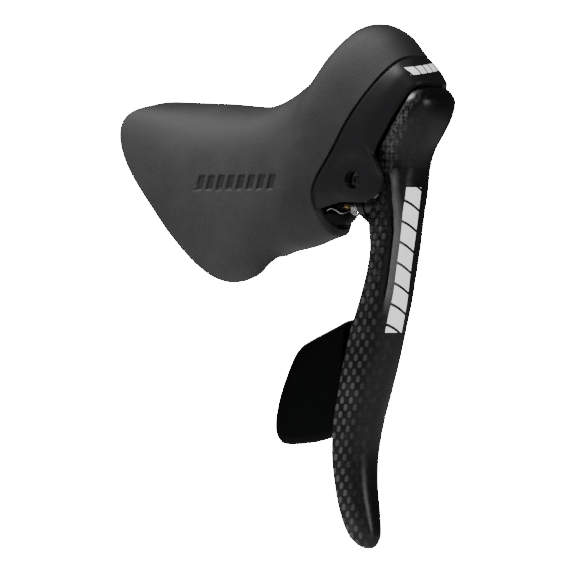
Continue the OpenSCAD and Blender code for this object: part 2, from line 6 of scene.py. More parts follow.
import bmesh
import bpy
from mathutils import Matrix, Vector


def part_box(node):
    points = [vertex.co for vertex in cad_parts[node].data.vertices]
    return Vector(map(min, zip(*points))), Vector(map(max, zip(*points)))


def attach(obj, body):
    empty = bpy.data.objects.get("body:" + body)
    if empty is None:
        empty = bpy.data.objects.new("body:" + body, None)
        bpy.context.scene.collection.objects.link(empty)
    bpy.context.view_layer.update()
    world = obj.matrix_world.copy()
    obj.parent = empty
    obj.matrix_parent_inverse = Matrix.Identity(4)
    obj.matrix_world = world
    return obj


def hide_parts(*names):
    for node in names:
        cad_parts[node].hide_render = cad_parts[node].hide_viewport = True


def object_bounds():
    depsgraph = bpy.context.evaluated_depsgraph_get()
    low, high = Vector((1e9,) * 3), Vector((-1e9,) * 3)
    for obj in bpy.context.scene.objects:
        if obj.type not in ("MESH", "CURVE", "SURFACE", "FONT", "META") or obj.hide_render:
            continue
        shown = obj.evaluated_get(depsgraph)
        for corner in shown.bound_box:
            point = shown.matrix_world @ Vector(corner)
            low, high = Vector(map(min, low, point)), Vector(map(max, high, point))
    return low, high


bl_info = {
    "name": "Brake and shift lever",
    "version": (1, 0, 0),
    "blender": (4, 5, 0),
    "location": "3D View > Sidebar > Lever",
    "description": "Builds the lever's hood, cover, blade, paddle and springs on the packed model",
    "category": "Object",
}

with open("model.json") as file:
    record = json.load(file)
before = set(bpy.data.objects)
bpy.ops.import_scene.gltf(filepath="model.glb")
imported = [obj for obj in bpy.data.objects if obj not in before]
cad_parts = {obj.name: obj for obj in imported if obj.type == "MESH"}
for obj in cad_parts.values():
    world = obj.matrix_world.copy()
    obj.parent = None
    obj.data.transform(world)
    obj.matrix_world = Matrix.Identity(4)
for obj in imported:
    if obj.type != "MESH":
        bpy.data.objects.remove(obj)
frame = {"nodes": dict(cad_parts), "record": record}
CAD_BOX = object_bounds()
MM = 0.001
NODES = frame["nodes"]


# ---------------------------------------------------------------- curves and meshes

def cubic(a, b, c, d, t):
    """The smooth curve from b to c, with a before and d after."""
    return 0.5 * (2 * b + (c - a) * t + (2 * a - 5 * b + 4 * c - d) * t * t
                  + (3 * b - a - 3 * c + d) * t ** 3)


def along(values, s):
    """The smooth curve through a list of numbers or of lists, where s counts its entries from 0."""
    last = len(values) - 1
    i = min(max(int(math.floor(s)), 0), last - 1)
    picked = [values[max(i - 1, 0)], values[i], values[i + 1], values[min(i + 2, last)]]
    if isinstance(picked[1], (int, float)):
        return cubic(*picked, s - i)
    return [cubic(*column, s - i) for column in zip(*picked)]


def signed_power(value, exponent):
    return math.copysign(abs(value) ** exponent, value)


def smoothstep(low, high, value):
    t = min(max((value - low) / (high - low), 0.0), 1.0)
    return t * t * (3 - 2 * t)


def bell(value, centre, width):
    return math.exp(-((value - centre) / width) ** 2)


def new_piece(name, points, faces, sharp_degrees=40.0):
    """A smooth-shaded mesh object from points in millimetres."""
    mesh = bpy.data.meshes.new(name)
    mesh.from_pydata([Vector(p) * MM for p in points], [], faces)
    mesh.validate()
    mesh.update()
    mesh.shade_smooth()
    mesh.set_sharp_from_angle(angle=math.radians(sharp_degrees))
    piece = bpy.data.objects.new(name, mesh)
    bpy.context.scene.collection.objects.link(piece)
    return piece


def ring_faces(rows, columns, close_rows):
    """Quads over a grid of rows whose columns close on themselves."""
    faces = []
    for i in range(rows if close_rows else rows - 1):
        for j in range(columns):
            a, b = i * columns, ((i + 1) % rows) * columns
            k = (j + 1) % columns
            faces.append((a + j, b + j, b + k, a + k))
    return faces


def ring_piece(name, rings, close_rows=False, sharp_degrees=40.0):
    """A closed piece through rings: either joined end to end, or capped at both ends."""
    rows, columns = len(rings), len(rings[0])
    faces = ring_faces(rows, columns, close_rows)
    if not close_rows:
        faces.append(tuple(range(columns)))
        faces.append(tuple((rows - 1) * columns + j for j in reversed(range(columns))))
    return new_piece(name, [p for ring in rings for p in ring], faces, sharp_degrees)


def face_outward(piece):
    """Turns every face's normal out of the piece."""
    work = bmesh.new()
    work.from_mesh(piece.data)
    bmesh.ops.recalc_face_normals(work, faces=work.faces)
    work.to_mesh(piece.data)
    work.free()


def apply_modifiers(piece):
    """Replaces a piece's mesh by its mesh with all modifiers applied."""
    graph = bpy.context.evaluated_depsgraph_get()
    done = bpy.data.meshes.new_from_object(piece.evaluated_get(graph))
    piece.modifiers.clear()
    piece.data = done


def finish_piece(piece, material, body, replaced=()):
    """Gives a piece its material, its body and the CAD nodes that it stands for."""
    piece.data.materials.clear()
    piece.data.materials.append(material)
    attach(piece, body)
    if replaced:
        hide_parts(*replaced)


# ---------------------------------------------------------------- shader maths

class Shade:
    """A shader socket that takes part in Python arithmetic."""

    def __init__(self, maker, socket):
        self.maker = maker
        self.socket = socket

    def _do(self, operation, *values):
        return self.maker.node("ShaderNodeMath", {"operation": operation}, list(values))

    def __add__(self, other):
        return self._do("ADD", self, other)

    def __radd__(self, other):
        return self._do("ADD", other, self)

    def __sub__(self, other):
        return self._do("SUBTRACT", self, other)

    def __rsub__(self, other):
        return self._do("SUBTRACT", other, self)

    def __mul__(self, other):
        return self._do("MULTIPLY", self, other)

    def __rmul__(self, other):
        return self._do("MULTIPLY", other, self)

    def __truediv__(self, other):
        return self._do("DIVIDE", self, other)

    def __pow__(self, other):
        return self._do("POWER", self, other)

    def __lt__(self, other):
        return self._do("LESS_THAN", self, other)

    def __gt__(self, other):
        return self._do("GREATER_THAN", self, other)

    def __mod__(self, other):
        return self._do("FLOORED_MODULO", self, other)

    def __abs__(self):
        return self._do("ABSOLUTE", self)

    def floor(self):
        return self._do("FLOOR", self)

    def clamp(self):
        return self._do("MINIMUM", self._do("MAXIMUM", self, 0.0), 1.0)

    def smaller(self, other):
        return self._do("MINIMUM", self, other)


PRINT_WHITE = (0.97, 0.97, 0.97)
# PRINT_GLOW is the colour of the painted glow that keeps printed marks white.
PRINT_GLOW = (0.6, 0.6, 0.6)


class Maker:
    """Builds one material's nodes around its Principled shader."""

    def __init__(self, name, roughness=0.5, metallic=0.0, coat=0.0, coat_roughness=0.05, specular=0.5):
        self.material = bpy.data.materials.new(name)
        self.material.use_nodes = True
        self.tree = self.material.node_tree
        self.shader = self.tree.nodes["Principled BSDF"]
        self.set("Roughness", roughness)
        self.set("Metallic", metallic)
        self.set("Coat Weight", coat)
        self.set("Coat Roughness", coat_roughness)
        self.set("Specular IOR Level", specular)

    def _feed(self, socket, value):
        if isinstance(value, Shade):
            self.tree.links.new(value.socket, socket)
        else:
            socket.default_value = value

    def node(self, kind, settings=None, inputs=None, output=0):
        """A node of any kind: its settings, then its inputs by order or by name, then one output."""
        made = self.tree.nodes.new(kind)
        for key, value in (settings or {}).items():
            setattr(made, key, value)
        pairs = inputs.items() if isinstance(inputs, dict) else enumerate(inputs or [])
        for key, value in pairs:
            self._feed(made.inputs[key], value)
        return Shade(self, made.outputs[output])

    def set(self, name, value):
        """Sets or links one socket of the Principled shader."""
        self._feed(self.shader.inputs[name], value)

    def place(self):
        """The surface point in the part's own frame, in millimetres."""
        point = self.node("ShaderNodeTexCoord", output="Object")
        return self.node("ShaderNodeVectorMath", {"operation": "SCALE"}, {0: point, "Scale": 1000.0})

    def parts(self, vector):
        """The three numbers of a vector."""
        split = self.tree.nodes.new("ShaderNodeSeparateXYZ")
        self._feed(split.inputs[0], vector)
        return [Shade(self, socket) for socket in split.outputs]

    def noise(self, vector, scale, detail=2.0, rough=0.5):
        return self.node("ShaderNodeTexNoise", {}, {"Vector": vector, "Scale": scale, "Detail": detail,
                                                    "Roughness": rough})

    def cells(self, vector, scale):
        return self.node("ShaderNodeTexVoronoi", {}, {"Vector": vector, "Scale": scale})

    def stretch(self, vector, factors):
        return self.node("ShaderNodeVectorMath", {"operation": "MULTIPLY"}, [vector, factors])

    def mix(self, factor, first, second):
        """A colour between two colours."""
        made = self.tree.nodes.new("ShaderNodeMix")
        made.data_type = "RGBA"
        for socket, value in zip((made.inputs[0], made.inputs[6], made.inputs[7]), (factor, first, second)):
            if not isinstance(value, Shade) and not isinstance(value, (int, float)):
                value = (*value[:3], 1.0)
            self._feed(socket, value)
        return Shade(self, made.outputs[2])

    def normal(self):
        """The three parts of the direction that the surface faces, in the part's own frame."""
        return self.parts(self.node("ShaderNodeTexCoord", output="Normal"))

    def bump(self, height, distance):
        """Feeds the shader's normal from a height; distance is in millimetres."""
        self.set("Normal", self.node("ShaderNodeBump", {}, {"Strength": 1.0, "Distance": distance * MM,
                                                            "Height": height}))

    def print_painted_glow(self, mark):
        """Makes a printed mark glow, a painted light that keeps it white under the soft light."""
        self.set("Emission Color", self.mix(mark, (0.0, 0.0, 0.0), PRINT_GLOW))
        self.set("Emission Strength", 1.0)


# Middle and reach along x of the painted highlight on the rubber, in millimetres.
HIGHLIGHT_MIDDLE, HIGHLIGHT_REACH = 24.0, 60.0


def rubber(name, colours, grain, mark=None):
    """Dark rubber, with a painted highlight over its middle, a fine moulded grain and an optional pressed
    mark.
    """
    maker = Maker(name, specular=0.5)
    place = maker.place()
    bloom = maker.noise(place, 0.09, 4.0, 0.6)
    fine = maker.noise(place, 1.6, 3.0, 0.6)
    pits = maker.cells(place, 2.6)
    # Painted highlight: the rubber is paler across the middle of its length.
    painted_highlight = (1.0 - abs(maker.parts(place)[0] - HIGHLIGHT_MIDDLE) / HIGHLIGHT_REACH).clamp()
    tone = (bloom * 1.5 - 0.75 + painted_highlight * 0.6).clamp()
    base = maker.mix((tone * 0.75 + fine * 0.25).clamp(), colours[0], colours[1])
    if mark:
        # Painted shade: the floor of the pressed mark is darkened.
        base = maker.mix(mark(maker, place) * 0.72, base, (0.002, 0.002, 0.002))
    maker.set("Base Color", base)
    maker.set("Roughness", (0.54 + bloom * 0.12 + fine * 0.08).clamp())
    maker.bump(pits * 0.6 + fine * 0.8, grain)
    return maker.material


def satin_plastic(name, colour, light, roughness, mark=None):
    """Moulded satin plastic with a fine spark texture, and an optional printed mark."""
    maker = Maker(name, specular=0.17)
    place = maker.place()
    spark = maker.noise(place, 3.2, 2.0, 0.6)
    wide = maker.noise(place, 0.06, 2.0, 0.5)
    base = maker.mix((wide * 0.7 + spark * 0.3).clamp(), colour, light)
    rough = roughness + (spark - 0.5) * 0.12
    if mark:
        printed = mark(maker, place)
        wear = (maker.noise(place, 1.1, 3.0, 0.6) * 0.12 + 0.88).clamp()
        base = maker.mix(printed * wear, base, PRINT_WHITE)
        # The print glows: painted light.
        maker.print_painted_glow(printed)
    maker.set("Base Color", base)
    maker.set("Roughness", rough.clamp())
    maker.bump(spark, 0.03)
    return maker.material


def gloss_black(name, colour, roughness, coat=0.6, specular=0.5, rim=0.0):
    """Glossy black moulding or paint with orange peel, fine scuffs and an optional painted highlight along
    the upper rim.
    """
    maker = Maker(name, specular=specular, coat=coat, coat_roughness=0.08)
    place = maker.place()
    peel = maker.noise(place, 0.5, 2.0, 0.5)
    scuff = maker.noise(maker.stretch(place, (0.6, 0.6, 6.0)), 1.2, 3.0, 0.6)
    base = maker.mix((scuff * 1.6 - 0.7).clamp(), colour, [c * 2.2 for c in colour])
    if rim:
        # Painted highlight: paler along the edges that face upward.
        nx, ny, nz = maker.normal()
        rim_highlight = ((0.98 - abs(ny)) * 6.0).clamp() * ((nz - nx * 0.5) * 3.0 - 0.4).clamp()
        base = maker.mix(rim_highlight * rim, base, (0.5, 0.5, 0.5))
    maker.set("Base Color", base)
    maker.set("Roughness", (roughness + scuff * 0.12).clamp())
    maker.bump(peel, 0.02)
    return maker.material


def metal(name, colour, roughness, lines, metallic=1.0):
    """Machined metal: fine lines, stretched by the three factors given, and a faint stain."""
    maker = Maker(name, metallic=metallic, specular=0.5)
    place = maker.place()
    brushed = maker.noise(maker.stretch(place, lines), 1.0, 3.0, 0.65)
    stain = maker.noise(place, 0.25, 3.0, 0.55)
    dull = [c * 0.6 for c in colour]
    maker.set("Base Color", maker.mix((brushed * 0.5 + stain * 0.6).clamp(), dull, colour))
    maker.set("Roughness", (roughness - 0.08 + brushed * 0.16 + stain * 0.06).clamp())
    maker.bump(brushed, 0.012)
    return maker.material


# ---------------------------------------------------------------- settings

def colour_setting(name, description, default):
    return bpy.props.FloatVectorProperty(name=name, description=description, size=3, subtype="COLOR",
                                         min=0.0, max=1.0, default=default)


def length_setting(name, description, default):
    return bpy.props.FloatProperty(name=name, description=description, default=default, min=0.0,
                                   unit="LENGTH", precision=5)


class HoodSettings(bpy.types.PropertyGroup):
    """Sizes and colours of the rubber hood."""
    wall: length_setting("Wall", "Thickness of the rubber", 2.5 * MM)
    mark_depth: length_setting("Mark depth", "Depth of the pressed grip mark", 0.45 * MM)
    grain: bpy.props.FloatProperty(name="Grain", description="Height of the grain in millimetres",
                                   default=0.06, min=0.0)
    dark: colour_setting("Rubber", "The rubber's colour", (0.020, 0.020, 0.021))
    # This paler colour serves both the random bloom and the painted highlight.
    light: colour_setting("Bloom", "The paler bloom on the rubber", (0.052, 0.052, 0.053))


class CoverSettings(bpy.types.PropertyGroup):
    """Sizes and colours of the front cover."""
    wall: length_setting("Wall", "Thickness of the cover", 2.4 * MM)
    hole_radius: length_setting("Pin hole", "Radius of the hole over the brake pin", 2.9 * MM)
    colour: colour_setting("Plastic", "The cover's colour", (0.011, 0.011, 0.0122))
    sheen: colour_setting("Paler plastic", "The cover's paler tone", (0.019, 0.019, 0.0207))


class BladeSettings(bpy.types.PropertyGroup):
    """Sizes and colours of the carbon blade."""
    tow: length_setting("Tow width", "Width of one carbon tow in the weave", 1.7 * MM)
    wall: length_setting("Wall", "Thickness of the carbon", 1.9 * MM)
    groove: length_setting("Groove", "Depth of the groove along the outer side", 0.9 * MM)
    dark: colour_setting("Resin", "The dark tows", (0.002, 0.002, 0.0023))
    # Colour of the painted glint on the lit tows.
    light: colour_setting("Fibre", "The tows that catch the light", (0.085, 0.086, 0.088))
    # Colour of the painted highlight just in front of the side groove.
    ridge_highlight: colour_setting("Ridge", "The smooth ridge beside the groove", (0.16, 0.16, 0.163))
    stripe: colour_setting("Stripe", "The printed stripe", PRINT_WHITE)


class StageSettings(bpy.types.PropertyGroup):
    """Camera and light."""
    azimuth: bpy.props.FloatProperty(name="Azimuth", description="Turn of the camera about the lever",
                                     default=math.radians(38), unit="ROTATION")
    view_width: length_setting("View width", "Width that the camera sees at the lever", 186.9 * MM)
    distance: length_setting("Distance", "From the camera to the lever", 2.5)
    drop: length_setting("Floor", "Height of the floor below the blade's tip", 45 * MM)
    paper: colour_setting("Floor colour", "Colour of the floor", (0.93, 0.93, 0.93))


# ---------------------------------------------------------------- hood

GRIP = 17.0
# Each station of the hood: the places of its crest and of its lower edge (x, z and x, z), half its width at
# the top, in the middle and below, its bow, the squareness of its ends and of its sides, how far its crest is
# flattened, how much of the bow follows SEAM_BOW, the taper of its skirt and the rise of its lower middle.
HOOD_STATIONS = [
    [-12.4, 36.6, 32.9, -17.4, 16.8, 16.8, 16.8, 19.8, 0.44, 0.42, 9.5, 0, 0.36, 0.1],
    [10, 35.6, 35.5, -14, 16, GRIP, 16.5, 11, 0.6, 0.62, 0, 0, 0.16, 0.03],
    [34, 34.8, 38.5, -12.4, 15.5, GRIP, 16, 5, 0.62, 0.62, 0, 0, 0.04, 0],
    [52, 43.3, 44, -11.3, 13, GRIP - 0.5, 15.5, 4.5, 0.62, 0.64, 0, 0.1, 0, 0],
    [64.5, 56.4, 48.5, -10, 11.6, GRIP - 1.2, 14.6, 6, 0.65, 0.64, 0, 0.3, 0, 0],
    [72.5, 60.3, 52, -9, 11, GRIP - 2, 13.8, 7.5, 0.7, 0.64, 0, 0.5, 0, 0],
    [81.8, 56.8, 54.5, -8.4, 11.4, GRIP - 3, 13.2, 9, 0.72, 0.62, 0, 0.8, 0, 0],
    [88.2, 50, 56, -8, 12.4, GRIP - 3.5, 13, 10, 0.75, 0.6, 0, 1, 0, 0],
]
SEAM_BOW = [0, 0.24, 0.5, 0.8, 1, 0.4, 0]
HOOD_LAST = len(HOOD_STATIONS) - 1


def inset(station, wall, lean):
    """A station moved in by a wall; lean tips the rear rim's wall forward, clear of the handlebar."""
    top, bottom = Vector(station[0:2]), Vector(station[2:4])
    down = (bottom - top).normalized()
    ahead = Vector((-down[1], down[0])) * lean
    top += down * wall + ahead
    bottom += ahead - down * wall
    return [*top, *bottom, *[w - wall for w in station[4:7]], station[7] + lean, *station[8:]]


def skin_point(station, angle):
    """The point of a station at an angle in degrees, from 0 at the crest to 180 below."""
    top, bottom = Vector(station[0:2]), Vector(station[2:4])
    down = (bottom - top).normalized()
    c, s = math.cos(math.radians(angle)), math.sin(math.radians(angle))
    u = signed_power(c, station[8] if c > 0 else station[8] * 0.82)
    corner = station[10] * (u - c ** 6) if c > 0 else 0.0
    plain = abs(s) ** 1.3
    fold = 360 - angle if angle > 180 else angle
    bow = station[7] * (plain + (along(SEAM_BOW, fold / 30) - plain) * station[11])
    skirt = 1.0
    if c < 0:
        skirt -= station[12] * (s if s > 0 else -0.4 * min(-1.1 * s, 1.0))
        skirt -= station[13] * (1.0 if s > 0 else max(0.0, 1 + s / 0.4) ** 2)
        bow *= 1 - station[12] * 0.9 * abs(c) ** 0.6
    point = (top + bottom) / 2 + (top - bottom) / 2 * u * skirt
    point += Vector((down[1], -down[0])) * bow - down * corner
    upper, middle, lower = station[4:7]
    wide = middle + (upper - lower) / 2 * u + ((upper + lower) / 2 - middle) * u * u
    return Vector((point[0], wide * signed_power(s, station[9]), point[1]))


def graded(low, high, count, dense_low, dense_high, dense_count):
    """Numbers from low to high, with dense_count of them between dense_low and dense_high."""
    share = (dense_low - low) / (high - low - dense_high + dense_low)
    before = max(2, round(count * share))
    after = max(2, count - before)
    return ([low + (dense_low - low) * i / before for i in range(before)]
            + [dense_low + (dense_high - dense_low) * i / dense_count for i in range(dense_count)]
            + [dense_high + (high - dense_high) * i / after for i in range(after + 1)])


MARK_X, MARK_Z, MARK_HALF, MARK_RISE, BAR_STEP, BAR_WIDE = 26.5, 9.6, 16.6, 2.4, 4.15, 2.6


def mark_groove(x, z):
    """How deep the pressed row of slanted bars is at a place on the outer side, from 0 to 1."""
    x, z = x - MARK_X, z - MARK_Z
    slant = x - 0.3 * z + MARK_HALF
    across = abs(slant % BAR_STEP - BAR_WIDE / 2)
    in_bar = smoothstep(BAR_WIDE / 2 + 0.15, BAR_WIDE / 2 - 0.25, across)
    in_row = smoothstep(MARK_RISE + 0.15, MARK_RISE - 0.25, abs(z))
    in_length = 1.0 if 0 <= slant < 2 * MARK_HALF - 0.3 else 0.0
    return in_bar * in_row * in_length


def mark_painted_shade(maker, place):
    """Painted shade on the floor of the pressed bars, on the outboard side only."""
    x, y, z = maker.parts(place)
    slant = (x - MARK_X) - (z - MARK_Z) * 0.3 + MARK_HALF
    across = abs((slant % BAR_STEP) - BAR_WIDE / 2)
    return ((across < BAR_WIDE / 2) * (abs(z - MARK_Z) < MARK_RISE) * (slant > 0.0)
            * (slant < 2 * MARK_HALF - 0.3) * (y < 0.0))


def steep_angle(height):
    """The angle from the widest line at which a side of the hood has gone up by a share of its height."""
    return math.degrees(math.asin(signed_power(height, 1 / 0.6)))


class LEVER_OT_hood(bpy.types.Operator):
    """Makes the rubber hood with its rolled rear rim and its pressed grip mark"""
    bl_idname = "lever.hood"
    bl_label = "Hood"

    def execute(self, context):
        settings = context.scene.lever_hood
        wall = settings.wall / MM
        depth = settings.mark_depth / MM
        inner_stations = [inset(st, wall, 2.0 if i == 0 else 0.0) for i, st in enumerate(HOOD_STATIONS)]
        places = graded(0, HOOD_LAST, 96, 0.95, 2.75, 120)
        angles = {3.0 * k for k in range(120)}
        for step in range(-40, 41):
            angles.add(270 + steep_angle(step * 0.0125))
        for step in range(-10, 11):
            angles.add(90 - steep_angle(step * 0.05))
        angles = sorted(angles)

        def rows(stations, pressed):
            made = []
            for s in places:
                station = along(stations, s)
                ring = [skin_point(station, a) for a in angles]
                if pressed:
                    for p in ring:
                        if p.y < -8:
                            p.y += depth * mark_groove(p.x, p.z)
                made.append(ring)
            return made

        outer = rows(HOOD_STATIONS, True)
        inner = rows(inner_stations, False)

        def lip(first, second, bulge):
            """Rounds the edge between an outer and an inner ring."""
            made = []
            for share in (0.2, 0.5, 0.8):
                push = bulge * math.sin(math.pi * share)
                made.append([a.lerp(b, share) + push for a, b in zip(first, second)])
            return made

        rear = Vector((-0.77, 0.0, -0.64)) * 0.9
        front = Vector((0.89, 0.0, 0.45)) * 0.2
        rings = outer + lip(outer[-1], inner[-1], front) + inner[::-1] + lip(inner[0], outer[0], rear)
        piece = ring_piece("hood_rubber", rings, close_rows=True, sharp_degrees=60)
        face_outward(piece)
        material = rubber("hood_rubber", (settings.dark, settings.light), settings.grain, mark_painted_shade)
        finish_piece(piece, material, "bracket_body", ["hood"])
        return {"FINISHED"}


# ---------------------------------------------------------------- front cover

COVER_FRONT = [
    [94.2, 0, 41.2], [93.8, 6.5, 41], [91.8, 9.6, 39.2], [87.7, 11.3, 33.4], [83.2, 12, 27],
    [78.5, 12.5, 18.8], [80.4, 12.7, 14.6], [82.4, 12.8, 10], [80.2, 12.8, 5], [75.5, 12.7, 2.8],
]
COVER_SEAM = [0, 22, 36, 48, 60, 76, 88, 102, 118, 138]
SEAM_GAP = 0.5
PIN = Vector((71.3, 0, 10.0))


def outward(point):
    """The direction out of the nose at a point of the cover."""
    return Vector((0.35 * (point[0] - 70), point[1], 0.35 * (point[2] - 22))).normalized()


def cover_section(s, side, wall, shrink):
    """The closed cross-section of the cover at a place along its edges; shrink rounds its foot."""
    seam = skin_point(HOOD_STATIONS[-1], along(COVER_SEAM, s))
    front = Vector(along(COVER_FRONT, s))
    start = seam + (front - seam).normalized() * SEAM_GAP
    middle = (start + front) / 2
    middle += outward(middle) * 0.8 + Vector((0, 0, 1.7)) * smoothstep(7.8, 9.0, s)
    steps = 22
    skin = [Vector(along([list(start), list(middle), list(front)], 2 * i / steps)) for i in range(steps + 1)]
    boss = []
    for p in skin:
        away = (Vector((p.x, 0, p.z)) - PIN).length
        boss.append(p + outward(p) * 0.55 * smoothstep(10.0, 5.5, away))
    loop = []
    for i, p in enumerate(boss):
        edge = min(i, steps - i) / steps
        ease = 0.55 * (1 - smoothstep(0.0, 0.09, edge)) + shrink
        loop.append(p - outward(p) * ease)
    for i in reversed(range(steps + 1)):
        p = skin[i]
        edge = min(i, steps - i) / steps
        ease = 0.45 * (1 - smoothstep(0.0, 0.09, edge)) + shrink
        loop.append(p - outward(p) * (wall - ease))
    return [Vector((p.x, p.y * side, p.z)) for p in loop]


NOSE_MARK_Y, NOSE_MARK_Z, NOSE_MARK_HALF, NOSE_MARK_RISE, NOSE_MARK_STEP = -1.6, 45.5, 7.0, 1.25, 3.0


def nose_mark(maker, place):
    """A plain white bar printed across the nose, cut by slanted gaps."""
    x, y, z = maker.parts(place)
    line = z - NOSE_MARK_Z - (y + 2.0) * 0.13
    band = (abs(y - NOSE_MARK_Y) < NOSE_MARK_HALF) * (abs(line) < NOSE_MARK_RISE) * (x > 80.0)
    gaps = ((y + line * 0.4) % NOSE_MARK_STEP) > 0.55
    return band * gaps


class LEVER_OT_front_cover(bpy.types.Operator):
    """Makes the front cover that arches over the nose and ends in the two ears"""
    bl_idname = "lever.front_cover"
    bl_label = "Front cover"

    def execute(self, context):
        settings = context.scene.lever_cover
        wall = settings.wall / MM
        last = len(COVER_FRONT) - 1
        steps = 110
        feet = [(last, 0.35), (last - 0.03, 0.12)]
        places = [(last * (1 - i / steps), 0.0) for i in range(1, steps)]
        near = [cover_section(s, -1, wall, shrink) for s, shrink in feet + places]
        far = [cover_section(s, 1, wall, shrink) for s, shrink in [(0.0, 0.0)] + places[::-1] + feet[::-1]]
        piece = ring_piece("cover_shell", near + far, sharp_degrees=50)
        face_outward(piece)
        hole = bpy.data.objects.new("pin_hole_cutter", drum_mesh(settings.hole_radius / MM, 60, 64))
        hole.location = PIN * MM
        hole.rotation_euler = (math.radians(90), 0, 0)
        context.scene.collection.objects.link(hole)
        cut = piece.modifiers.new("pin hole", "BOOLEAN")
        cut.operation = "DIFFERENCE"
        cut.solver = "EXACT"
        cut.object = hole
        context.view_layer.update()
        apply_modifiers(piece)
        bpy.data.objects.remove(hole)
        piece.data.shade_smooth()
        piece.data.set_sharp_from_angle(angle=math.radians(35))
        material = satin_plastic("cover_plastic", settings.colour, settings.sheen, 0.4, nose_mark)
        finish_piece(piece, material, "bracket_body", ["front_cover"])
        return {"FINISHED"}


def drum_mesh(radius, length, sides):
    """A closed drum along Z, from sizes in millimetres."""
    turns = [2 * math.pi * k / sides for k in range(sides)]
    points = [Vector((radius * math.cos(a), radius * math.sin(a), z)) * MM
              for z in (-length / 2, length / 2) for a in turns]
    faces = [tuple(reversed(face)) for face in ring_faces(2, sides, False)]
    faces += [tuple(reversed(range(sides))), tuple(range(sides, 2 * sides))]
    mesh = bpy.data.meshes.new("drum")
    mesh.from_pydata(points, [], faces)
    return mesh


# ---------------------------------------------------------------- brake blade

# Each station of the blade: height, front, rear, half its width, how far forward its rear channel reaches and
# how far its inboard side is cut back.
BLADE_STATIONS = [
    [39.6, 94.6, 92.6, 5, 0.6, 0.2],
    [38.4, 95.8, 91.8, 8.6, 1.4, 0],
    [35, 97.4, 90.4, 10.8, 3.8, 0],
    [30, 96.4, 87, 11.2, 5.4, 0],
    [25, 94, 83.2, 10.6, 6.6, 0],
    [20, 91.2, 79.4, 9.7, 7.6, 0],
    [15, 89.4, 78.6, 9, 7, 0],
    [10, 88.4, 80, 8.7, 5.4, 0],
    [5, 87.8, 78.4, 8.6, 6.4, 1.5],
    [0, 87, 74.2, 8.5, 10, 5.6],
    [-5, 86.2, 73.6, 8.4, 9.8, 5.8],
    [-12, 84.9, 74, 8.3, 8.2, 5.2],
    [-20, 83.5, 72.4, 8.2, 8.2, 5],
    [-29, 82.1, 69.4, 8.1, 8.6, 5],
    [-38, 80, 66, 8, 8.2, 4.8],
    [-48, 77.4, 63.2, 8, 7.4, 4.4],
    [-58, 74.3, 60.9, 7.9, 6.6, 4],
    [-68, 71, 58.8, 7.8, 5.8, 4],
    [-78, 68.9, 57.9, 7.5, 4.6, 3],
    [-88, 68.8, 58.7, 7, 1.8, 0.6],
    [-97, 70, 60.3, 6.3, 0.5, 0],
    [-104, 70.8, 62.6, 5, 0.4, 0],
    [-107.5, 69.8, 65, 3, 0.3, 0],
    [-108.7, 68.4, 66.6, 1, 0.2, 0.2],
]


GROOVE_TOP, GROOVE_BEND, GROOVE_END = 14.0, -6.5, -34.0


def groove_line(below):
    """How far forward the side groove runs, at a height below the place where it bends."""
    return 82.0 + below * 0.125 - below * below * 0.0022


def blade_ring(station, wall, groove, steps):
    """The blade's closed outline at a station: the outer skin, then the rear channel back again."""
    z, front, rear, half, channel, cut_back = station
    outer, inner = [], []
    for i in range(steps + 1):
        angle = math.radians(-90 + 180 * i / steps)
        s, c = math.sin(angle), max(math.cos(angle), 0.0)
        cut = cut_back * ((1 + s) / 2) ** 2
        x = rear + cut + (front - rear - cut) * c ** 0.72
        y = half * signed_power(s, 0.72)
        if y < 0:
            line = groove_line(min(z - GROOVE_BEND, 0.0))
            reach = smoothstep(GROOVE_TOP, GROOVE_TOP - 8, z) * smoothstep(GROOVE_END, GROOVE_END + 10, z)
            y += groove * (bell(x, line, 0.6) - 0.7 * bell(x, line + 2.3, 1.5)) * reach
        outer.append((x, y, z))
        thin = max(half - wall, half * 0.4)
        inner.append((rear + cut + max(channel - cut, 0.2) * c ** 0.5, thin * signed_power(s, 0.6), z))
    return outer + inner[::-1]


class LEVER_OT_brake_blade(bpy.types.Operator):
    """Makes the carbon brake blade with its rear channel, side groove, weave and stripe"""
    bl_idname = "lever.brake_blade"
    bl_label = "Brake blade"

    def execute(self, context):
        settings = context.scene.lever_blade
        last = len(BLADE_STATIONS) - 1
        rows, steps = 200, 72
        stations = [along(BLADE_STATIONS, last * i / rows) for i in range(rows + 1)]
        rings = [blade_ring(st, settings.wall / MM, settings.groove / MM, steps) for st in stations]
        piece = ring_piece("blade_skin", rings, sharp_degrees=55)
        face_outward(piece)
        finish_piece(piece, carbon("blade_carbon", settings), "brake_lever", ["brake_blade"])
        return {"FINISHED"}


